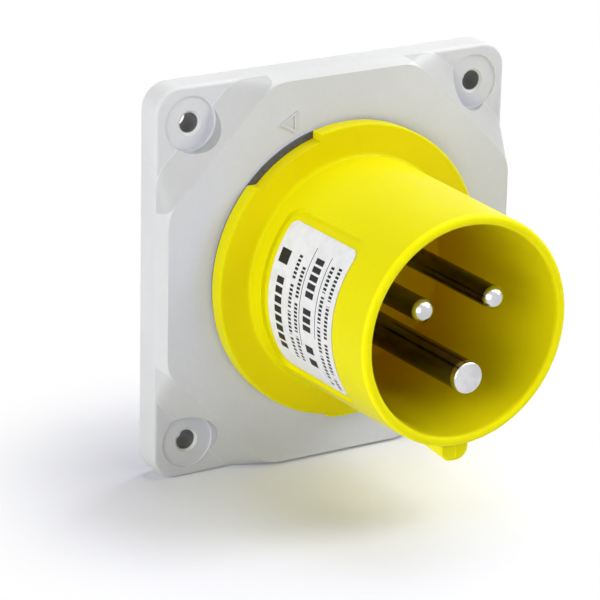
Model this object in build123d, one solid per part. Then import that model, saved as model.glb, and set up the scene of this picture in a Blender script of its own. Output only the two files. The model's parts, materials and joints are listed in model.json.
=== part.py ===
from build123d import *
import os

# Circular pin-and-earth panel inlet: a square flange with a yellow shrouded housing.
# All lengths in millimetres, all angles in degrees.
# The finished part has +Z up, the mating side towards -Y, and its origin on the inlet
# axis in the rear plane of the flange. Each piece is drawn with its axis along +Z,
# with the front as +Z and the rear plane of the flange at zero, and is turned at the end.

# Flange
flange_width = 88.5
flange_height = 88.5
flange_corner_radius = 5.75
slab_thickness = 6.4
slab_edge_radius = 0.8
plateau_rise = 4.4
plateau_foot_width = 88.4
plateau_foot_across_diagonal = 99.0
plateau_top_width = 87.0
plateau_top_across_diagonal = 87.0
plateau_corner_radius = 8.0
flange_wall = 2.6
rim_wall = 4.6
hole_pitch_x = 72.0
hole_pitch_z = 72.0
fixing_hole_radius = 2.15
fixing_hole_chamfer = 0.6
seat_radius = 6.1
seat_depth = 0.3
seat_bevel = 0.5
boss_radius = 5.2
bore_wall = 2.08
mark_across = -13.8
mark_up = 34.3
mark_size = 2.8
mark_line = 0.5
mark_height = 0.25

# Seals
gasket_width = 2.2
gasket_thickness = 1.5
gasket_clearance = 0.1
gasket_edge_distance = 1.1
seal_thickness = 0.65
seal_inset = 0.25

# Housing collar
collar_radius = 33.1
collar_height = 3.35
collar_edge_radius = 0.5
collar_cone_rise = 0.85
foot_fillet = 0.8
notch_side = -8.5
notch_bottom = 22.0
notch_depth = 1.6
collar_lug_start = 262.0
collar_lug_end = 278.0
collar_lug_rise = 0.8
collar_lug_step = 0.4

# Shroud
shroud_foot_radius = 26.05
shroud_rim_radius = 25.3
shroud_front = 59.9
shroud_wall_at_rim = 2.3
mouth_foot_radius = 20.5
floor_front = 18.0
floor_thickness = 3.0
floor_fillet = 1.0

# Key rib below the shroud
key_width = 6.8
key_front = 57.0
key_front_radius = 29.75
key_length = 26.0
key_fall = 2.2
key_corner_radius = 2.8
key_front_edge = 0.4
key_ridge_width = 0.6
key_ridge_height = 0.2
key_ridge_across = 0.45

# Label and its pocket
pocket_start_angle = 133.0
pocket_end_angle = 222.0
pocket_rear = 19.9
pocket_front = 48.0
pocket_corner_radius = 3.0
pocket_radius = 25.05
label_start_angle = 138.5
label_end_angle = 217.0
label_rear = 21.7
label_front = 47.0
label_corner_radius = 2.0
label_thickness = 0.2
label_glue = 0.05

# Bayonet between skirt and flange
skirt_clearance = 0.4
skirt_wall = 2.8
skirt_radius = 26.4
skirt_rear = -6.0
bayonet_lug_rise = 2.6
bayonet_lug_thickness = 2.5
bayonet_lug_sweep = 30.0
bayonet_count = 3
bayonet_first_angle = 75.0
bayonet_turn = 42.0
bayonet_slot_margin = 2.5
bayonet_lug_gap = 0.5
bayonet_stop_sweep = 3.0
bayonet_stop_gap = 1.0

# Pins
pin_circle_radius = 10.2
earth_circle_radius = 9.8
line_angle = 150.0
neutral_angle = 30.0
earth_angle = 270.0
power_pin_radius = 2.5
power_pin_front = 58.2
power_pin_dome = 1.9
earth_pin_radius = 3.5
earth_pin_front = 61.2
earth_pin_edge = 0.5
pin_hole_clearance = 0.3
pin_shoulder_rise = 0.4
pin_shoulder_height = 0.4
pin_collar_rise = 2.2
pin_collar_thickness = 2.5
terminal_rise = 1.4
terminal_edge = 0.4
terminal_rear = -15.0
wire_bore_radius = 2.6
wire_bore_depth = 13.0

# Contact carrier
carrier_clearance = 0.4
carrier_thickness = 8.0
carrier_edge = 0.8
carrier_bore_clearance = 0.3
tower_wall = 1.8
tower_overhang = 2.0
tower_edge = 0.5
web_thickness = 2.0
web_reach = 12.5

# Screws that hold the carrier
carrier_screw_circle = 18.0
carrier_screw_first_angle = 90.0
carrier_screw_count = 3
screw_boss_radius = 3.0
screw_boss_length = 5.0
screw_boss_clearance = 0.3
carrier_screw_radius = 1.5
carrier_screw_head_radius = 2.7
carrier_screw_head_height = 1.8
carrier_screw_length = 9.0
carrier_screw_hole_clearance = 0.25
carrier_screw_hole_spare = 0.5
cross_recess_width = 0.8
cross_recess_span = 3.0
cross_recess_depth = 1.0

# Terminal screws and wire guards
terminal_screw_place = -9.0
terminal_screw_radius = 1.75
terminal_screw_clearance = 0.25
terminal_head_radius = 3.0
terminal_head_height = 2.2
terminal_head_edge = 0.4
terminal_head_gap = 0.3
terminal_shank_length = 5.2
slot_width = 0.8
slot_depth = 1.0
guard_width = 2.2
guard_thickness = 0.4
guard_offset = 2.45
guard_length = 9.5
guard_hook_margin = 0.3
guard_slot_clearance = 0.15

# Planes and radii that follow from the sizes above
plateau_face = slab_thickness + plateau_rise
collar_rear = plateau_face + seal_thickness
collar_front = collar_rear + collar_height
cone_top = collar_front + collar_cone_rise
flange_bore_radius = skirt_radius + skirt_clearance
skirt_inner_radius = skirt_radius - skirt_wall
seal_outer_radius = collar_radius - seal_inset
seal_inner_radius = flange_bore_radius + skirt_clearance
ledge_rear = plateau_face - flange_wall
floor_rear = floor_front - floor_thickness
carrier_rear = floor_rear - carrier_thickness
carrier_radius = skirt_inner_radius - carrier_clearance
tower_rear = terminal_rear - tower_overhang
lug_outer_radius = skirt_radius + bayonet_lug_rise
lug_slot_radius = lug_outer_radius + bayonet_lug_gap
shroud_taper = (shroud_foot_radius - shroud_rim_radius) / (shroud_front - cone_top)


def shroud_radius(height):
    """Outer radius of the tapered shroud at a distance in front of the rear plane."""
    return shroud_foot_radius - (height - cone_top) * shroud_taper


def around(shape, radius, angle):
    """Move a shape out from the axis and turn it to an angle."""
    return Rot(0, 0, angle) * Pos(radius, 0, 0) * shape


def disc(radius, rear, front):
    """Round bar on the inlet axis between two planes."""
    return Pos(0, 0, rear) * Cylinder(radius, front - rear, align=(Align.CENTER, Align.CENTER, Align.MIN))


def ring(inner, outer, rear, front):
    """Flat ring on the inlet axis between two planes."""
    return disc(outer, rear, front) - disc(inner, rear, front)


def sector(inner, outer, rear, front, start, end):
    """Part of a ring between two angles."""
    profile = Rot(90, 0, 0) * Rectangle(outer - inner, front - rear)
    profile = Pos((inner + outer) / 2, 0, (rear + front) / 2) * profile
    return Rot(0, 0, start) * revolve(profile, Axis.Z, end - start)


def to_frame(shape):
    """Turn the drawing axis so that the mating side looks towards -Y."""
    return Rot(90, 0, 0) * shape


# Grey flange
def octagon(width, across_diagonal, corner):
    """Octagon with rounded corners, given by its width and its size across the diagonals."""
    square = Rectangle(width, width)
    turned = Rot(0, 0, 45) * Rectangle(across_diagonal, across_diagonal)
    shape = square & turned
    return fillet(shape.vertices(), corner)


def fixing_places():
    """Centres of the four fixing holes."""
    return [(sx * hole_pitch_x / 2, sz * hole_pitch_z / 2) for sx in (-1, 1) for sz in (-1, 1)]


def flange_blank():
    """Slab with the drafted plateau on it, before any hollow or hole."""
    slab = extrude(RectangleRounded(flange_width, flange_height, flange_corner_radius), slab_thickness)
    slab = fillet(slab.edges().group_by(Axis.Z)[-1], slab_edge_radius)
    foot = octagon(plateau_foot_width, plateau_foot_across_diagonal, plateau_corner_radius)
    top = octagon(plateau_top_width, plateau_top_across_diagonal, plateau_corner_radius)
    sunk = slab_edge_radius
    plateau = loft([Pos(0, 0, slab_thickness) * foot, Pos(0, 0, plateau_face) * top])
    plinth = Pos(0, 0, slab_thickness - sunk) * extrude(foot, sunk)
    return slab + plinth + plateau


def flange_hollow():
    """Space behind the plateau that leaves a rim, screw bosses and a bore wall."""
    width = flange_width - 2 * rim_wall
    height = flange_height - 2 * rim_wall
    inside = RectangleRounded(width, height, flange_corner_radius / 2)
    low = extrude(inside, slab_thickness - flange_wall)
    shrink = 2 * rim_wall
    corner = plateau_corner_radius / 2
    foot = octagon(plateau_foot_width - shrink, plateau_foot_across_diagonal - shrink, corner)
    top = octagon(plateau_top_width - shrink, plateau_top_across_diagonal - shrink, corner)
    high = loft([Pos(0, 0, slab_thickness - flange_wall) * foot, Pos(0, 0, ledge_rear) * top])
    space = low + high
    for x, z in fixing_places():
        space -= Pos(x, z, 0) * disc(boss_radius, -1, plateau_face)
    space -= ring(lug_slot_radius, lug_slot_radius + bore_wall, -1, plateau_face)
    return space


def mark():
    """Raised outline of a triangle beside the notch in the collar."""
    outer = RegularPolygon(mark_size, 3)
    inner = offset(outer, -mark_line, kind=Kind.INTERSECTION)
    outline = extrude(outer - inner, mark_height)
    return Pos(mark_across, mark_up, plateau_face) * (Rot(0, 0, 180) * outline)


def mounting_flange():
    """Grey flange with seats, bore, bayonet ledges, gasket groove and mark."""
    body = flange_blank() - flange_hollow()
    floor = slab_thickness - seat_depth
    for x, z in fixing_places():
        pocket = disc(seat_radius, floor, plateau_face + 1)
        flare = Pos(0, 0, plateau_face) * Cone(
            seat_radius, seat_radius + seat_bevel, seat_bevel, align=(Align.CENTER, Align.CENTER, Align.MAX)
        )
        body -= Pos(x, z, 0) * (pocket + flare)
        hole = disc(fixing_hole_radius, -1, floor + 1)
        lead = Pos(0, 0, floor) * Cone(
            fixing_hole_radius,
            fixing_hole_radius + fixing_hole_chamfer,
            fixing_hole_chamfer,
            align=(Align.CENTER, Align.CENTER, Align.MAX),
        )
        body -= Pos(x, z, 0) * (hole + lead)
    body -= disc(flange_bore_radius, -1, plateau_face + 1)
    body -= disc(lug_slot_radius, -1, ledge_rear)
    step = 360 / bayonet_count
    half_slot = bayonet_lug_sweep / 2 + bayonet_slot_margin
    for index in range(bayonet_count):
        middle = bayonet_first_angle + bayonet_turn + index * step
        body -= sector(
            flange_bore_radius - 1,
            lug_slot_radius,
            ledge_rear - 1,
            plateau_face + 1,
            middle - half_slot,
            middle + half_slot,
        )
        stop = bayonet_first_angle - bayonet_lug_sweep / 2 - bayonet_stop_gap + index * step
        body += sector(
            flange_bore_radius,
            lug_slot_radius + 0.5,
            ledge_rear - bayonet_lug_thickness,
            ledge_rear,
            stop - bayonet_stop_sweep,
            stop,
        )
    body -= gasket_groove()
    return body + mark()


def gasket_outline(grow):
    """Frame shape of the rear seal, widened by a clearance on both edges."""
    edge = gasket_edge_distance - grow
    outer_corner = flange_corner_radius - edge
    inner_edge = gasket_edge_distance + gasket_width + grow
    inner_corner = flange_corner_radius - inner_edge
    outer = RectangleRounded(flange_width - 2 * edge, flange_height - 2 * edge, outer_corner)
    inner = RectangleRounded(flange_width - 2 * inner_edge, flange_height - 2 * inner_edge, inner_corner)
    return outer - inner


def gasket_groove():
    """Groove in the rear rim for the seal."""
    return extrude(gasket_outline(gasket_clearance), gasket_thickness)


def flange_gasket():
    """Square seal that lies flush in the rear rim."""
    return extrude(gasket_outline(0), gasket_thickness)


def housing_seal():
    """Flat ring between the plateau and the collar."""
    return ring(seal_inner_radius, seal_outer_radius, plateau_face, collar_rear)


# Yellow housing
def collar_and_shroud():
    """Turned outline of the collar, its shallow cone and the tapered shroud."""
    half_wall = shroud_wall_at_rim / 2
    rim_centre = shroud_front - half_wall
    rim_middle = shroud_rim_radius - half_wall
    foot_radius = shroud_radius(cone_top)
    with BuildPart() as body:
        with BuildSketch(Plane.XZ):
            with BuildLine():
                Polyline(
                    (0, floor_front),
                    (0, floor_rear),
                    (skirt_inner_radius, floor_rear),
                    (skirt_inner_radius, skirt_rear),
                    (skirt_radius, skirt_rear),
                    (skirt_radius, collar_rear),
                    (collar_radius, collar_rear),
                    (collar_radius, collar_front),
                    (foot_radius, cone_top),
                    (shroud_rim_radius, rim_centre),
                )
                ThreePointArc(
                    (shroud_rim_radius, rim_centre),
                    (rim_middle, shroud_front),
                    (shroud_rim_radius - shroud_wall_at_rim, rim_centre),
                )
                Polyline(
                    (shroud_rim_radius - shroud_wall_at_rim, rim_centre),
                    (mouth_foot_radius, floor_front),
                    (0, floor_front),
                )
            make_face()
        revolve(axis=Axis.Z)
        edges = body.edges().filter_by(GeomType.CIRCLE)
        edge_of_collar = [e for e in edges if near(e, collar_radius, collar_front)]
        fillet(edge_of_collar, collar_edge_radius)
        edges = body.edges().filter_by(GeomType.CIRCLE)
        foot = [e for e in edges if near(e, foot_radius, cone_top)]
        fillet(foot, foot_fillet)
        edges = body.edges().filter_by(GeomType.CIRCLE)
        floor_edge = [e for e in edges if near(e, mouth_foot_radius, floor_front)]
        fillet(floor_edge, floor_fillet)
    return body.part


def near(edge, radius, height):
    """True for a circular edge of this radius at this height."""
    return abs(edge.radius - radius) < 0.01 and abs(edge.center(CenterOf.MASS).Z - height) < 0.01


def collar_notch():
    """Recess in the upper left edge of the collar, with one upright and one level end wall."""
    rear = collar_rear - 1
    edge = ring(collar_radius - notch_depth, collar_radius + 1, rear, cone_top + 1)
    reach = 2 * collar_radius
    quarter = Pos(notch_side, notch_bottom, rear) * Box(
        reach, reach, reach, align=(Align.MAX, Align.MIN, Align.MIN)
    )
    return edge & quarter


def collar_lug():
    """Low raised pad on the edge of the collar, below."""
    front = collar_front - collar_lug_step
    outer = collar_radius + collar_lug_rise
    inner = skirt_radius + 1
    return sector(inner, outer, collar_rear, front, collar_lug_start, collar_lug_end)


def key_rib():
    """Rib that falls towards the rear below the shroud, with rounded lower corners."""
    root = shroud_rim_radius - shroud_wall_at_rim / 2
    rise = key_front_radius - root
    rear_rise = rise - key_fall
    front = key_section(rise)
    rear = key_section(rear_rise)
    blade = loft([Pos(0, 0, key_front - key_length) * rear, Pos(0, 0, key_front) * front])
    blade = fillet(blade.faces().sort_by(Axis.Z)[-1].edges(), key_front_edge)
    return blade + key_ridge(rise)


def key_ridge(rise):
    """Low upright ridge on the front of the rib."""
    root = shroud_rim_radius - shroud_wall_at_rim / 2
    height = rise - key_corner_radius / 3
    thickness = key_front_edge + key_ridge_height
    ridge = Box(key_ridge_width, height, thickness, align=(Align.CENTER, Align.MAX, Align.MIN))
    return Pos(key_ridge_across, -root, key_front - key_front_edge) * ridge


def key_section(rise):
    """Cross-section of the rib, which hangs down from the middle of the shroud wall."""
    root = shroud_rim_radius - shroud_wall_at_rim / 2
    shape = Pos(0, -root - rise / 2) * Rectangle(key_width, rise)
    return fillet(shape.vertices().group_by(Axis.Y)[0], key_corner_radius)


def curved_patch(radius, reach, rear, front, start, end, corner):
    """Rounded rectangle wrapped on the barrel and given a thickness outwards."""
    band = sector(radius, radius + reach, rear, front, start, end)
    corners = [edge for edge in band.edges() if is_radial(edge)]
    return fillet(corners, corner)


def is_radial(edge):
    """True for a straight edge square to the inlet axis."""
    if edge.geom_type != GeomType.LINE:
        return False
    direction = edge.tangent_at(0.5)
    return abs(direction.Z) < 0.001


def label_pocket():
    """Shallow pocket in the barrel that takes the label."""
    reach = shroud_foot_radius + 1 - pocket_radius
    return curved_patch(
        pocket_radius,
        reach,
        pocket_rear,
        pocket_front,
        pocket_start_angle,
        pocket_end_angle,
        pocket_corner_radius,
    )


def rating_label():
    """Thin label on the floor of the pocket."""
    inner = pocket_radius + label_glue
    return curved_patch(
        inner,
        label_thickness,
        label_rear,
        label_front,
        label_start_angle,
        label_end_angle,
        label_corner_radius,
    )


def bayonet_lugs():
    """Lugs on the skirt that lock behind the bore of the flange."""
    lugs = Part()
    step = 360 / bayonet_count
    half = bayonet_lug_sweep / 2
    for index in range(bayonet_count):
        middle = bayonet_first_angle + index * step
        lugs += sector(
            skirt_radius - skirt_wall / 2,
            lug_outer_radius,
            ledge_rear - bayonet_lug_thickness,
            ledge_rear,
            middle - half,
            middle + half,
        )
    return lugs


def screw_angles():
    """Directions of the carrier screws round the axis."""
    step = 360 / carrier_screw_count
    return [carrier_screw_first_angle + index * step for index in range(carrier_screw_count)]


def inlet_housing():
    """Yellow housing with collar, shroud, key, pocket, pin holes, bosses and lugs."""
    body = collar_and_shroud()
    body -= collar_notch()
    body += collar_lug()
    body += key_rib()
    body -= label_pocket()
    body += bayonet_lugs()
    boss_end = floor_rear - screw_boss_length
    for angle in screw_angles():
        boss = disc(screw_boss_radius, boss_end, floor_rear + 0.5)
        body += around(boss, carrier_screw_circle, angle)
    for angle in screw_angles():
        tip = carrier_rear + carrier_screw_length + carrier_screw_hole_spare
        radius = carrier_screw_radius + carrier_screw_hole_clearance
        bore = disc(radius, boss_end - 1, tip)
        body -= around(bore, carrier_screw_circle, angle)
    for angle, distance, radius in pin_places():
        wide = radius + pin_shoulder_rise + pin_hole_clearance
        hole = disc(wide, floor_rear - 1, floor_front + 1)
        body -= around(hole, distance, angle)
    return body


# Contact pins
def pin_places():
    """Direction, distance from the axis and radius of each pin."""
    return [
        (line_angle, pin_circle_radius, power_pin_radius),
        (neutral_angle, pin_circle_radius, power_pin_radius),
        (earth_angle, earth_circle_radius, earth_pin_radius),
    ]


def terminal_radius(pin_radius):
    """Radius of the wire terminal at the rear of a pin."""
    return pin_radius + terminal_rise


def terminal_body(pin_radius):
    """Rear part of a pin: shoulder, collar and terminal with its wire bore, slot and tapped hole."""
    outer = terminal_radius(pin_radius)
    shoulder_end = floor_front + pin_shoulder_height
    shoulder = disc(pin_radius + pin_shoulder_rise, floor_rear - 1, shoulder_end)
    collar = disc(pin_radius + pin_collar_rise, floor_rear - pin_collar_thickness, floor_rear)
    barrel = disc(outer, terminal_rear, floor_rear - pin_collar_thickness + 0.5)
    barrel = chamfer(barrel.edges().group_by(Axis.Z)[0], terminal_edge)
    wire = disc(wire_bore_radius, terminal_rear - 1, terminal_rear + wire_bore_depth)
    tapped = Pos(0, 0, terminal_screw_place) * Rot(0, 90, 0) * Cylinder(
        terminal_screw_radius + terminal_screw_clearance,
        outer + 1,
        align=(Align.CENTER, Align.CENTER, Align.MIN),
    )
    slot = Pos(0, 0, terminal_rear - 1) * Box(
        guard_offset + guard_thickness + guard_slot_clearance,
        guard_width + 2 * guard_slot_clearance,
        guard_length + 1 + guard_slot_clearance,
        align=(Align.MIN, Align.CENTER, Align.MIN),
    )
    return shoulder + collar + barrel - wire - slot - tapped


def power_pin():
    """Thin pin with a domed end."""
    dome_radius = (power_pin_radius**2 + power_pin_dome**2) / (2 * power_pin_dome)
    shaft = disc(power_pin_radius, floor_rear - 1, power_pin_front)
    ball = Pos(0, 0, power_pin_front - dome_radius) * Sphere(dome_radius)
    column = disc(power_pin_radius, floor_rear - 1, power_pin_front - power_pin_dome)
    return column + (shaft & ball) + terminal_body(power_pin_radius)


def line_pin():
    """Pin on the left, seen from the front."""
    return around(power_pin(), pin_circle_radius, line_angle)


def neutral_pin():
    """Pin on the right, seen from the front."""
    return around(power_pin(), pin_circle_radius, neutral_angle)


def earth_pin():
    """Thick pin in line with the key, flat at the end with a rounded edge."""
    shaft = disc(earth_pin_radius, floor_rear - 1, earth_pin_front)
    shaft = fillet(shaft.edges().group_by(Axis.Z)[-1], earth_pin_edge)
    return around(shaft + terminal_body(earth_pin_radius), earth_circle_radius, earth_angle)


# Contact carrier
def contact_carrier():
    """Insulating block with seats for the pin collars and three terminal shrouds."""
    body = disc(carrier_radius, carrier_rear, floor_rear)
    body = chamfer(body.edges().group_by(Axis.Z)[0], carrier_edge)
    for angle in screw_angles():
        wall = Pos(web_reach / 2, 0, (tower_rear + carrier_rear) / 2) * Box(
            web_reach, web_thickness, carrier_rear - tower_rear
        )
        body += Rot(0, 0, angle) * wall
    for angle, distance, radius in pin_places():
        outer = terminal_radius(radius) + carrier_bore_clearance + tower_wall
        tower = disc(outer, tower_rear, carrier_rear + 1)
        tower = chamfer(tower.edges().group_by(Axis.Z)[0], tower_edge)
        body += around(tower, distance, angle)
    for angle, distance, radius in pin_places():
        body -= around(carrier_bore(radius), distance, angle)
    for angle in screw_angles():
        socket = disc(
            screw_boss_radius + screw_boss_clearance,
            floor_rear - screw_boss_length,
            floor_rear + 1,
        )
        radius = carrier_screw_radius + carrier_screw_hole_clearance
        passage = disc(radius, carrier_rear - 1, floor_rear)
        body -= around(socket + passage, carrier_screw_circle, angle)
    return body


def carrier_bore(radius):
    """Stepped bore for one pin with an opening for its terminal screw."""
    outer = terminal_radius(radius) + carrier_bore_clearance
    wide = radius + pin_collar_rise + carrier_bore_clearance
    seat = disc(wide, floor_rear - pin_collar_thickness, floor_rear + 1)
    bore = disc(outer, tower_rear - 1, floor_rear)
    window = Pos(0, 0, terminal_screw_place) * Rot(0, 90, 0) * Cylinder(
        terminal_head_radius + terminal_head_gap,
        outer + tower_wall + 2,
        align=(Align.CENTER, Align.CENTER, Align.MIN),
    )
    return seat + bore + window


# Screws and wire guards
def terminal_screw():
    """Slotted screw, backed off, that meets the wire guard, with its axis along +X."""
    tip = guard_offset + guard_thickness
    head_rear = tip + terminal_shank_length
    standing = (Align.CENTER, Align.CENTER, Align.MIN)
    shank = Cylinder(terminal_screw_radius, terminal_shank_length, align=standing)
    head = Cylinder(terminal_head_radius, terminal_head_height, align=standing)
    head = fillet(head.edges().group_by(Axis.Z)[-1], terminal_head_edge)
    slot = Box(2 * terminal_head_radius + 1, slot_width, slot_depth)
    slot = Pos(0, 0, terminal_head_height - slot_depth / 2) * slot
    screw = Pos(0, 0, tip) * shank + Pos(0, 0, head_rear) * (head - slot)
    return Pos(0, 0, terminal_screw_place) * (Rot(0, 90, 0) * screw)


def terminal_screws():
    """The three terminal screws."""
    return [around(terminal_screw(), distance, angle) for angle, distance, radius in pin_places()]


def wire_guard(pin_radius):
    """Small bent leaf between the screw and the wire, hooked over the end of the terminal."""
    leaf = Pos(guard_offset, 0, terminal_rear - guard_thickness) * Box(
        guard_thickness,
        guard_width,
        guard_length + guard_thickness,
        align=(Align.MIN, Align.CENTER, Align.MIN),
    )
    hook = Pos(guard_offset, 0, terminal_rear - guard_thickness) * Box(
        terminal_radius(pin_radius) - guard_hook_margin - guard_offset,
        guard_width,
        guard_thickness,
        align=(Align.MIN, Align.CENTER, Align.MIN),
    )
    return leaf + hook


def line_wire_guard():
    """Leaf in the left terminal."""
    return around(wire_guard(power_pin_radius), pin_circle_radius, line_angle)


def neutral_wire_guard():
    """Leaf in the right terminal."""
    return around(wire_guard(power_pin_radius), pin_circle_radius, neutral_angle)


def earth_wire_guard():
    """Leaf in the earth terminal."""
    return around(wire_guard(earth_pin_radius), earth_circle_radius, earth_angle)


def carrier_screw():
    """Cross-recessed screw with its head on the rear of the carrier."""
    shank = disc(carrier_screw_radius, carrier_rear - 0.5, carrier_rear + carrier_screw_length)
    shank = chamfer(shank.edges().group_by(Axis.Z)[-1], carrier_screw_radius / 2)
    head = disc(carrier_screw_head_radius, carrier_rear - carrier_screw_head_height, carrier_rear)
    head = fillet(head.edges().group_by(Axis.Z)[0], carrier_screw_head_height / 2)
    depth = Pos(0, 0, carrier_rear - carrier_screw_head_height + cross_recess_depth / 2)
    cross = Box(cross_recess_span, cross_recess_width, cross_recess_depth)
    cross += Box(cross_recess_width, cross_recess_span, cross_recess_depth)
    return shank + head - depth * cross


def carrier_screws():
    """The three screws that hold the carrier against the floor."""
    return [around(carrier_screw(), carrier_screw_circle, angle) for angle in screw_angles()]


def solids_of(shape):
    """Flat list of the solids in a shape or in a list of shapes."""
    if isinstance(shape, (list, tuple)):
        return [solid for item in shape for solid in item.solids()]
    return list(shape.solids())


def write(name, shape):
    """Write one node in the finished frame."""
    solids = [to_frame(solid) for solid in solids_of(shape)]
    node = solids[0] if len(solids) == 1 else Compound(children=solids)
    export_step(node, os.path.join("parts", name + ".step"))


os.makedirs("parts", exist_ok=True)
write("mounting_flange", mounting_flange())
write("flange_gasket", flange_gasket())
write("housing_seal", housing_seal())
write("inlet_housing", inlet_housing())
write("rating_label", rating_label())
write("contact_carrier", contact_carrier())
write("line_pin", line_pin())
write("neutral_pin", neutral_pin())
write("earth_pin", earth_pin())
write("line_wire_guard", line_wire_guard())
write("neutral_wire_guard", neutral_wire_guard())
write("earth_wire_guard", earth_wire_guard())
write("terminal_screws", terminal_screws())
write("carrier_screws", carrier_screws())
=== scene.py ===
import json
import math

import bpy
from mathutils import Matrix, Vector


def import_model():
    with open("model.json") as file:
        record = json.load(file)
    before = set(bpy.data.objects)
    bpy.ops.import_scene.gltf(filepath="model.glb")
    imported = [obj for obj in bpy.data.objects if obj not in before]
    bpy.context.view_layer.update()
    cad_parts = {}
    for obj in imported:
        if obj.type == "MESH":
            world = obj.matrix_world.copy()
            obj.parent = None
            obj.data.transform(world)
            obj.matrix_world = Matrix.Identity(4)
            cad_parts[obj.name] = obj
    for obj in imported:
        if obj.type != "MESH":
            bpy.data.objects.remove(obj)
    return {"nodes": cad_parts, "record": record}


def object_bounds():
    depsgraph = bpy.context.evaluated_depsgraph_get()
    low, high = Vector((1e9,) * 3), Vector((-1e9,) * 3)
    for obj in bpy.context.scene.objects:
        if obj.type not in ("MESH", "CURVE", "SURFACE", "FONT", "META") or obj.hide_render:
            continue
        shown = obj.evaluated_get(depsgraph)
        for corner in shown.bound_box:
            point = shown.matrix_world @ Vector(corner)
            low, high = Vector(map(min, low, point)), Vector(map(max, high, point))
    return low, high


# A panel inlet that stands on the lower edge of its grey flange, seen from the front left.
# The scene is in metres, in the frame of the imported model: +Z up, mating side towards -Y.
# The places that the materials use are in millimetres: "front" is the distance in front of the
# flange's rear plane, and a radius is measured from the inlet axis.

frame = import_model()
cad_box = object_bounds()
nodes = frame["nodes"]
MM = 0.001
HOLES = next(m["dims"] for m in frame["record"]["mounts"] if m["name"] == "fixing_holes")

# Flange
SLAB_FRONT = 6.4
PLATEAU_FRONT = 10.8
SLOPE_START = 61.5
SEAT_RADIUS = 6.1

# Housing
BARREL_RADIUS = 26.0
COLLAR_RADIUS = 33.1
CONE_TOP = 15.65
MOUTH_RADIUS = 23.0
MOUTH_FLOOR = 18.0
SHROUD_FRONT = 59.9
KEY_REAR = 31.0

# How far across the mould line on the collar lies, below and above the axis
MOULD_LINE = (-1.15, 0.9)

# Where the bright end of the two thin pins starts, and how much further out that of the earth pin does
POWER_TIP = 56.0
EARTH_LEAD = 3.6

# Camera, in degrees and millimetres
CAMERA_AZIMUTH = -31.870
CAMERA_ELEVATION = 19.348
CAMERA_ROLL = 1.255
CAMERA_DISTANCE = 746.66
CAMERA_AIM = (-16.16, -19.92, -2.61)
CAMERA_LENS = 208.69
CAMERA_SENSOR = 36.0

# Lamps: name, azimuth and elevation in degrees, distance in metres, and power in watts
LAMP_SIZE = 0.45
LAMPS = (
    ("left_rear", -110.0, 8.0, 0.8, 1.4),
    ("left", -65.0, 8.0, 0.5, 2.3),
    ("right_rear", 110.0, 40.0, 0.8, 2.2),
    ("right", 60.0, 40.0, 0.8, 3.9),
    ("top_rear", 150.0, 72.0, 0.8, 1.9),
    ("top", 30.0, 72.0, 0.8, 1.1),
)
WORLD_LIGHT = 0.02

# Floor: half its size in metres, the middle of the shadow, and the radii between which it turns white
FLOOR_REACH = 3.0
SHADOW_MIDDLE = (-15.0, -25.0)
SHADOW_FADE = (40.0, 88.0)
SHADOW_HAZE = 0.08

# Rows of print: distance in front, height, first and last angle, pitch and share of a bar, pitch of a group.
# A pitch longer than the row leaves it whole.
WHOLE = 400.0
GROUP_SHARE = 0.86
PRINT = (
    (24.9, 3.6, 153.0, 160.3, WHOLE, 1.0, WHOLE),
    (25.75, 2.7, 166.5, 204.0, 4.9, 0.70, WHOLE),
    (30.4, 1.2, 152.5, 206.0, 2.1, 0.62, 14.0),
    (32.9, 1.2, 157.0, 206.0, 2.0, 0.62, 17.5),
    (34.3, 0.22, 146.0, 196.0, WHOLE, 1.0, WHOLE),
    (37.3, 3.0, 150.0, 170.0, 4.15, 0.70, WHOLE),
    (37.3, 3.0, 175.0, 187.0, 4.15, 0.70, WHOLE),
    (37.3, 3.0, 194.0, 207.0, 7.5, 0.55, WHOLE),
    (40.5, 0.22, 147.0, 188.0, WHOLE, 1.0, WHOLE),
    (42.2, 1.2, 150.5, 213.0, 2.1, 0.62, 15.0),
    (44.8, 1.2, 149.5, 214.0, 2.0, 0.62, 19.0),
)


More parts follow.
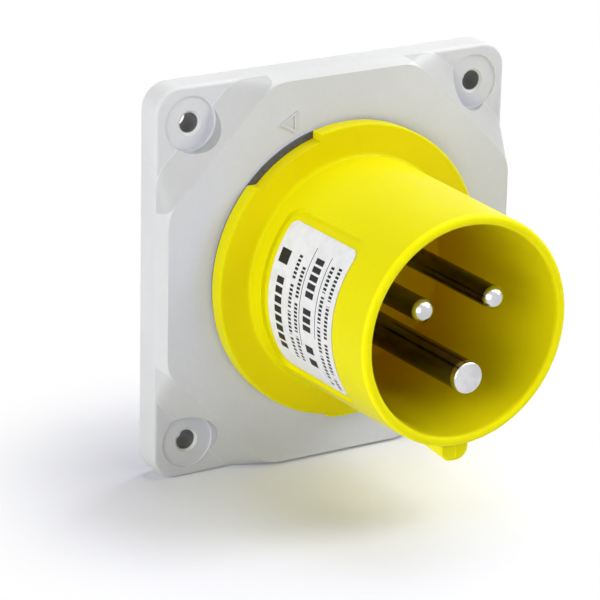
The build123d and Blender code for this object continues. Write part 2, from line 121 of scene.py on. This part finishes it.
# Node helpers
class Tree:
    """A material's node tree with short calls for the nodes that the materials share."""

    def __init__(self, name):
        self.material = bpy.data.materials.new(name)
        self.material.use_nodes = True
        self.tree = self.material.node_tree
        self.tree.nodes.clear()
        self.output = self.tree.nodes.new("ShaderNodeOutputMaterial")
        self.shader = self.tree.nodes.new("ShaderNodeBsdfPrincipled")
        self.link(self.shader.outputs["BSDF"], self.output.inputs["Surface"])
        coordinates = self.tree.nodes.new("ShaderNodeTexCoord")
        self.place = coordinates.outputs["Object"]
        self.normal = coordinates.outputs["Normal"]

    def link(self, source, target):
        self.tree.links.new(source, target)

    def put(self, value, socket):
        """Link a socket, or set a constant."""
        if isinstance(value, bpy.types.NodeSocket):
            self.link(value, socket)
        else:
            socket.default_value = value

    def set(self, name, value):
        """Set one input of the material's shader."""
        self.put(value, self.shader.inputs[name])

    def math(self, operation, a, b=None):
        node = self.tree.nodes.new("ShaderNodeMath")
        node.operation = operation
        self.put(a, node.inputs[0])
        if b is not None:
            self.put(b, node.inputs[1])
        return node.outputs[0]

    def times(self, *masks):
        """Product of masks or numbers."""
        product = masks[0]
        for mask in masks[1:]:
            product = self.math("MULTIPLY", product, mask)
        return product

    def split(self, vector):
        """The three parts of a vector."""
        node = self.tree.nodes.new("ShaderNodeSeparateXYZ")
        self.link(vector, node.inputs[0])
        return node.outputs[0], node.outputs[1], node.outputs[2]

    def places(self):
        """Across, in front and up, in millimetres."""
        scales = (1000.0, -1000.0, 1000.0)
        return [self.math("MULTIPLY", part, scale) for part, scale in zip(self.split(self.place), scales)]

    def facing_front(self):
        """One on faces that look towards the front, none on the others."""
        y = self.split(self.normal)[1]
        return self.between(self.math("MULTIPLY", y, -1.0), 0.90, 0.99)

    def length(self, a, b):
        """Distance from two differences."""
        return self.math("SQRT", self.math("ADD", self.times(a, a), self.times(b, b)))

    def aside(self, value, place):
        """Difference between a coordinate's size and a place that repeats on both sides."""
        return self.math("SUBTRACT", self.math("ABSOLUTE", value), place)

    def noise(self, scale, detail=3.0, roughness=0.5, stretch=None):
        """Noise value; the scale is in cycles a metre."""
        node = self.tree.nodes.new("ShaderNodeTexNoise")
        node.inputs["Scale"].default_value = scale
        node.inputs["Detail"].default_value = detail
        node.inputs["Roughness"].default_value = roughness
        place = self.place
        if stretch:
            mapping = self.tree.nodes.new("ShaderNodeMapping")
            mapping.inputs["Scale"].default_value = stretch
            self.link(place, mapping.inputs["Vector"])
            place = mapping.outputs[0]
        self.link(place, node.inputs["Vector"])
        return node.outputs["Fac"]

    def between(self, value, low, high, to_low=0.0, to_high=1.0):
        """Map a range to another with a soft start and end, clamped."""
        node = self.tree.nodes.new("ShaderNodeMapRange")
        node.interpolation_type = "SMOOTHSTEP"
        self.put(value, node.inputs["Value"])
        node.inputs["From Min"].default_value = low
        node.inputs["From Max"].default_value = high
        node.inputs["To Min"].default_value = to_low
        node.inputs["To Max"].default_value = to_high
        return node.outputs["Result"]

    def below(self, value, low, high):
        """One under the low value, none over the high one."""
        return self.between(value, low, high, 1.0, 0.0)

    def band(self, value, start, full, last, end):
        """One from full to last, none outside start and end."""
        return self.times(self.between(value, start, full), self.below(value, last, end))

    def mix(self, factor, a, b):
        """Mix two colours."""
        node = self.tree.nodes.new("ShaderNodeMix")
        node.data_type = "RGBA"
        self.put(factor, node.inputs["Factor"])
        self.put(a, node.inputs[6])
        self.put(b, node.inputs[7])
        return node.outputs[2]

    def mottled(self, noise, a, b, low=0.35, high=0.65):
        """Two colours that change over in the middle of a noise."""
        return self.mix(self.between(noise, low, high), a, b)

    def bump(self, layers):
        """Bump from a list of height, distance and strength."""
        normal = None
        for height, distance, strength in layers:
            node = self.tree.nodes.new("ShaderNodeBump")
            node.inputs["Strength"].default_value = strength
            node.inputs["Distance"].default_value = distance
            self.link(height, node.inputs["Height"])
            if normal is not None:
                self.link(normal, node.inputs["Normal"])
            normal = node.outputs["Normal"]
        self.link(normal, self.shader.inputs["Normal"])


def rgba(r, g, b):
    return (r, g, b, 1.0)


# Materials
def grey_plastic():
    """Light grey moulded plastic with a fine eroded skin; painted shade darkens the slopes, the pocket
    walls, the hole walls and a band at the base of the mark, and front faces carry a blue tint that cancels
    the yellow light bounced onto them.
    """
    # Dark colour mixed in as painted shade on the slopes and the pocket walls
    shade = rgba(0.10, 0.10, 0.104)
    t = Tree("grey_plastic")
    x, front, z = t.places()
    cloud = t.noise(28.0, 3.0)
    grain = t.noise(900.0, 4.0, 0.6)
    # Painted light: front faces are tinted blue, most near the yellow housing, to cancel the yellow light it
    # bounces onto them; the sides stay nearly neutral
    side = t.mottled(cloud, rgba(0.665, 0.668, 0.672), rgba(0.715, 0.718, 0.722))
    far = t.mottled(cloud, rgba(0.665, 0.675, 0.730), rgba(0.715, 0.725, 0.785))
    close = t.mottled(cloud, rgba(0.655, 0.665, 0.780), rgba(0.705, 0.715, 0.835))
    face = t.mix(t.between(t.length(x, z), 34.0, 52.0), close, far)
    tone = t.mix(t.facing_front(), side, face)
    tone = t.mix(t.between(grain, 0.3, 0.7, 0.0, 0.10), tone, rgba(0.53, 0.54, 0.57))

    # Painted shade: the diagonal slopes between the slab and the plateau are darkened, more on the upper
    # ones
    across = t.math("ADD", t.math("ABSOLUTE", x), t.math("ABSOLUTE", z))
    past_plateau = t.between(across, SLOPE_START - 0.05, SLOPE_START + 0.1)
    above_slab = t.between(front, SLAB_FRONT, SLAB_FRONT + 0.2)
    amount = t.between(z, -5.0, 5.0, 0.13, 0.23)
    tone = t.mix(t.times(past_plateau, above_slab, amount), tone, shade)

    beside_hole = t.aside(x, HOLES["spacing_x_mm"] / 2)
    above_hole = t.aside(z, HOLES["spacing_y_mm"] / 2)
    from_hole = t.length(beside_hole, above_hole)
    # Painted shade: the walls of the pockets around the fixing holes are darkened
    pocket_wall_shade = t.band(t.math("SUBTRACT", from_hole, SEAT_RADIUS), -0.2, -0.05, 0.02, 0.1)
    raised = t.between(front, SLAB_FRONT + 0.05, SLAB_FRONT + 0.5)
    tone = t.mix(t.times(pocket_wall_shade, raised, 0.30), tone, shade)
    hole = HOLES["hole_r_mm"]
    # Painted shade: the bore walls of the fixing holes are made dark
    tone = t.mix(t.below(from_hole, hole + 0.02, hole + 0.12), tone, rgba(0.14, 0.14, 0.145))

    # Painted shade: a narrow band just above the plateau, at the base of the mark, is darkened
    above_plateau = t.math("SUBTRACT", front, PLATEAU_FRONT)
    foot_shade = t.band(above_plateau, 0.01, 0.03, 0.18, 0.22)
    tone = t.mix(t.times(foot_shade, 0.75), tone, rgba(0.20, 0.20, 0.21))
    t.set("Base Color", tone)
    t.set("Roughness", t.between(t.noise(420.0, 2.0), 0.3, 0.7, 0.40, 0.52))
    t.set("Specular IOR Level", 0.4)
    t.bump([(grain, 0.00003, 0.35), (cloud, 0.0003, 0.08)])
    return t.material


def yellow_plastic():
    """Saturated yellow moulded plastic, satin, with a fine mould line; painted shade makes the collar's
    front face and the inside of the shroud a more orange yellow, and painted light brightens the shroud's
    front rim and the key rib.
    """
    t = Tree("yellow_plastic")
    x, front, z = t.places()
    radius = t.length(x, z)
    cloud = t.noise(22.0, 3.0)
    grain = t.noise(700.0, 3.0, 0.55)
    barrel = t.mottled(cloud, rgba(0.775, 0.715, 0.002), rgba(0.815, 0.755, 0.003))
    # Painted shade: the collar's front face up to the base of the barrel gets a more orange yellow than the
    # barrel
    collar = t.mottled(cloud, rgba(0.785, 0.665, 0.002), rgba(0.825, 0.705, 0.003))
    past_barrel = t.between(radius, BARREL_RADIUS + 0.3, BARREL_RADIUS + 1.5)
    within_edge = t.below(radius, COLLAR_RADIUS - 0.9, COLLAR_RADIUS - 0.3)
    behind_barrel = t.below(front, CONE_TOP + 1.35, CONE_TOP + 1.95)
    tone = t.mix(t.times(past_barrel, within_edge, behind_barrel), barrel, collar)

    # Painted light: the shroud's front rim and the key rib get a brighter yellow
    past_mouth = t.between(radius, MOUTH_RADIUS - 0.1, MOUTH_RADIUS + 0.4)
    rim = t.times(past_mouth, t.between(front, SHROUD_FRONT - 1.5, SHROUD_FRONT - 0.9))
    below_barrel = t.between(radius, BARREL_RADIUS + 0.2, BARREL_RADIUS + 0.6)
    key = t.times(below_barrel, t.between(front, KEY_REAR - 3.0, KEY_REAR - 1.0))
    tone = t.mix(t.math("MAXIMUM", rim, key), tone, rgba(0.95, 0.88, 0.004))

    # Painted shade: inside the shroud the yellow turns orange, most towards the floor of the mouth
    deep_shade = t.mix(t.between(front, 20.0, 56.0), rgba(0.97, 0.655, 0.002), rgba(0.78, 0.690, 0.003))
    in_mouth = t.below(radius, MOUTH_RADIUS - 0.1, MOUTH_RADIUS + 0.4)
    inside = t.times(in_mouth, t.between(front, MOUTH_FLOOR - 2.0, MOUTH_FLOOR - 1.0))
    tone = t.mix(inside, tone, deep_shade)
    tone = t.mix(t.between(grain, 0.3, 0.7, 0.0, 0.06), tone, rgba(0.70, 0.57, 0.003))
    t.set("Base Color", tone)
    rough = t.between(t.noise(300.0, 2.0), 0.3, 0.7, 0.34, 0.44)
    t.set("Roughness", t.math("ADD", rough, t.times(inside, 0.12)))
    t.set("Specular IOR Level", 0.12)
    t.set("Specular Tint", rgba(1.0, 0.95, 0.25))

    line = t.between(z, -1.0, 1.0, *MOULD_LINE)
    from_line = t.math("ABSOLUTE", t.math("SUBTRACT", x, line))
    on_collar = t.below(front, CONE_TOP + 1.35, CONE_TOP + 1.75)
    parting = t.times(t.below(from_line, 0.05, 0.16), on_collar)
    t.bump([(grain, 0.00002, 0.25), (cloud, 0.0004, 0.10), (parting, 0.00008, 0.6)])
    return t.material


def dark_plastic():
    """Black glass-filled plastic with a dull, slightly uneven skin."""
    t = Tree("dark_plastic")
    grain = t.noise(800.0, 4.0, 0.6)
    fibres = t.noise(260.0, 3.0, 0.6, (1.0, 5.0, 1.0))
    t.set("Base Color", t.mottled(fibres, rgba(0.018, 0.018, 0.02), rgba(0.045, 0.045, 0.048), 0.35, 0.7))
    t.set("Roughness", t.between(grain, 0.3, 0.7, 0.45, 0.62))
    t.bump([(grain, 0.00004, 0.4)])
    return t.material


def seal_rubber():
    """Dark rubber with fine pores."""
    t = Tree("seal_rubber")
    pores = t.noise(1200.0, 4.0, 0.65)
    t.set("Base Color", t.mottled(pores, rgba(0.055, 0.055, 0.058), rgba(0.095, 0.095, 0.10), 0.3, 0.7))
    t.set("Roughness", t.between(pores, 0.3, 0.7, 0.50, 0.68))
    t.bump([(pores, 0.00004, 0.5)])
    return t.material


def plated_pin():
    """Nickel-plated pin: bright at the turned end, with a painted dark reflection along the shaft."""
    t = Tree("plated_brass")
    _, front, z = t.places()
    turned = t.noise(900.0, 2.0, 0.5, (0.05, 9.0, 0.05))
    smear = t.noise(160.0, 3.0, 0.6, (1.0, 0.3, 1.0))
    lower = t.below(z, -1.0, 1.0)
    end = t.between(t.math("SUBTRACT", front, t.times(lower, EARTH_LEAD)), POWER_TIP - 0.3, POWER_TIP)
    # Painted reflection: the shaft behind the bright end gets a near-black base that stands in for the dark
    # surroundings it reflects
    shaft = t.mottled(smear, rgba(0.065, 0.062, 0.068), rgba(0.16, 0.152, 0.162), 0.35, 0.7)
    tip = t.mottled(smear, rgba(0.58, 0.58, 0.60), rgba(0.72, 0.72, 0.73), 0.35, 0.7)
    t.set("Base Color", t.mix(end, shaft, tip))
    t.set("Metallic", 1.0)
    t.set("Roughness", t.between(smear, 0.3, 0.7, 0.16, 0.27))
    t.bump([(turned, 0.00002, 0.25)])
    return t.material


def plated_steel():
    """Zinc-plated steel with fine turning marks and dull patches."""
    t = Tree("plated_steel")
    marks = t.noise(1100.0, 3.0, 0.6)
    patches = t.noise(240.0, 3.0, 0.6)
    t.set("Base Color", t.mottled(patches, rgba(0.48, 0.48, 0.47), rgba(0.68, 0.68, 0.66), 0.35, 0.7))
    t.set("Metallic", 1.0)
    t.set("Roughness", t.between(patches, 0.3, 0.7, 0.24, 0.42))
    t.bump([(marks, 0.00002, 0.3)])
    return t.material


def printed_row(t, front, along, row):
    """Mask of one row of print."""
    centre, height, start, end, letter, share, group = row
    soft_edge = 0.05
    soft_end = 0.1
    off_line = t.math("ABSOLUTE", t.math("SUBTRACT", front, centre))
    line = t.below(off_line, height / 2 - soft_edge, height / 2 + soft_edge)
    reach = t.band(along, start - soft_end, start + soft_end, end - soft_end, end + soft_end)
    mask = t.times(line, reach)
    for pitch, filled in ((letter, share), (group, GROUP_SHARE)):
        step = t.math("FRACT", t.math("DIVIDE", t.math("SUBTRACT", along, start), pitch))
        mask = t.times(mask, t.below(step, filled, filled + 0.03))
    return mask


def label_film():
    """White printed film with rows of plain dark bars and two thin rules."""
    t = Tree("label_film")
    x, front, z = t.places()
    from_left = t.math("ARCTAN2", z, t.math("MULTIPLY", x, -1.0))
    along = t.math("SUBTRACT", 180.0, t.math("MULTIPLY", from_left, 180.0 / math.pi))
    ink = printed_row(t, front, along, PRINT[0])
    for row in PRINT[1:]:
        ink = t.math("MAXIMUM", ink, printed_row(t, front, along, row))
    weave = t.noise(500.0, 2.0)
    film = t.mottled(weave, rgba(0.74, 0.74, 0.75), rgba(0.80, 0.80, 0.81), 0.3, 0.7)
    t.set("Base Color", t.mix(ink, film, rgba(0.012, 0.012, 0.013)))
    t.set("Roughness", t.between(weave, 0.3, 0.7, 0.38, 0.48))
    t.set("Specular IOR Level", 0.2)
    t.bump([(weave, 0.00001, 0.2)])
    return t.material


materials = {
    "grey_plastic": grey_plastic(),
    "yellow_plastic": yellow_plastic(),
    "dark_plastic": dark_plastic(),
    "seal_rubber": seal_rubber(),
    "plated_brass": plated_pin(),
    "plated_steel": plated_steel(),
    "label_film": label_film(),
}
for part in frame["record"]["subparts"]:
    piece = nodes[part["node"]]
    piece.data.materials.clear()
    piece.data.materials.append(materials[part["material_slot"]])


# Stage, lights and camera
def shown_rays(tree):
    """One for rays that show the background: from the camera, off gloss and through clear matter."""
    path = tree.nodes.new("ShaderNodeLightPath")
    total = path.outputs["Is Camera Ray"]
    for name in ("Is Glossy Ray", "Is Transmission Ray"):
        larger = tree.nodes.new("ShaderNodeMath")
        larger.operation = "MAXIMUM"
        tree.links.new(total, larger.inputs[0])
        tree.links.new(path.outputs[name], larger.inputs[1])
        total = larger.outputs[0]
    return total


def floor():
    """Pale floor that keeps the shadow and, for the camera, glows white away from it, with a camera colour
    tinted blue to cancel the yellow light bounced onto it.
    """
    mesh = bpy.data.meshes.new("floor")
    reach = FLOOR_REACH
    low = cad_box[0].z
    corners = [(-reach, -reach, low), (reach, -reach, low), (reach, reach, low), (-reach, reach, low)]
    mesh.from_pydata(corners, [], [(0, 1, 2, 3)])
    obj = bpy.data.objects.new("floor", mesh)
    bpy.context.scene.collection.objects.link(obj)
    t = Tree("floor")
    shown = shown_rays(t.tree)
    x, front, _ = t.places()
    # Painted light: for the camera the floor is tinted blue to cancel the yellow light the housing bounces
    # onto it; other rays see a darker grey
    t.set("Base Color", t.mix(shown, rgba(0.67, 0.68, 0.69), rgba(0.88, 0.885, 0.965)))
    t.set("Roughness", 0.9)
    t.set("Specular IOR Level", 0.1)
    glow = t.tree.nodes.new("ShaderNodeEmission")
    glow.inputs["Color"].default_value = rgba(1.0, 1.0, 1.0)
    glow.inputs["Strength"].default_value = 1.0
    from_middle = t.length(t.math("SUBTRACT", x, SHADOW_MIDDLE[0]), t.math("ADD", front, SHADOW_MIDDLE[1]))
    share = t.times(shown, t.between(from_middle, *SHADOW_FADE, SHADOW_HAZE, 1.0))
    blend = t.tree.nodes.new("ShaderNodeMixShader")
    t.link(share, blend.inputs[0])
    t.link(t.shader.outputs["BSDF"], blend.inputs[1])
    t.link(glow.outputs[0], blend.inputs[2])
    t.link(blend.outputs[0], t.output.inputs["Surface"])
    mesh.materials.append(t.material)


def world():
    """White for the camera, a dim even light for the object."""
    scene_world = bpy.data.worlds.new("world")
    bpy.context.scene.world = scene_world
    scene_world.use_nodes = True
    tree = scene_world.node_tree
    tree.nodes.clear()
    output = tree.nodes.new("ShaderNodeOutputWorld")
    blend = tree.nodes.new("ShaderNodeMixShader")
    tree.links.new(shown_rays(tree), blend.inputs[0])
    for place, strength in ((1, WORLD_LIGHT), (2, 1.0)):
        light = tree.nodes.new("ShaderNodeBackground")
        light.inputs["Color"].default_value = rgba(1.0, 1.0, 1.0)
        light.inputs["Strength"].default_value = strength
        tree.links.new(light.outputs[0], blend.inputs[place])
    tree.links.new(blend.outputs[0], output.inputs["Surface"])


def direction(azimuth, elevation):
    """Unit vector; azimuth is from the front towards +X, both in radians."""
    return Vector(
        (
            math.sin(azimuth) * math.cos(elevation),
            -math.cos(azimuth) * math.cos(elevation),
            math.sin(elevation),
        )
    )


def lamp(name, azimuth, elevation, distance, power):
    """Square soft lamp that looks at the barrel; angles in degrees."""
    aim = Vector((0.0, -0.03, 0.0))
    away = direction(math.radians(azimuth), math.radians(elevation))
    data = bpy.data.lights.new(name, "AREA")
    data.shape = "SQUARE"
    data.size = LAMP_SIZE
    data.energy = power
    obj = bpy.data.objects.new(name, data)
    bpy.context.scene.collection.objects.link(obj)
    obj.location = aim + away * distance
    obj.rotation_mode = "QUATERNION"
    obj.rotation_quaternion = (-away).to_track_quat("-Z", "Y")


def camera():
    """Camera at the viewing angle of the photograph."""
    azimuth = math.radians(CAMERA_AZIMUTH)
    roll = math.radians(CAMERA_ROLL)
    back = direction(azimuth, math.radians(CAMERA_ELEVATION))
    level = Vector((math.cos(azimuth), math.sin(azimuth), 0.0))
    upright = back.cross(level)
    right = level * math.cos(roll) + upright * math.sin(roll)
    up = upright * math.cos(roll) - level * math.sin(roll)
    data = bpy.data.cameras.new("camera")
    data.sensor_width = CAMERA_SENSOR
    data.lens = CAMERA_LENS
    data.clip_start = 0.01
    data.clip_end = 20.0
    obj = bpy.data.objects.new("camera", data)
    bpy.context.scene.collection.objects.link(obj)
    turn = Matrix((right, up, back)).transposed().to_4x4()
    place = Vector(CAMERA_AIM) * MM + back * CAMERA_DISTANCE * MM
    obj.matrix_world = Matrix.Translation(place) @ turn
    bpy.context.scene.camera = obj


floor()
world()
for row in LAMPS:
    lamp(*row)
camera()

bpy.context.scene.view_settings.view_transform = "Standard"
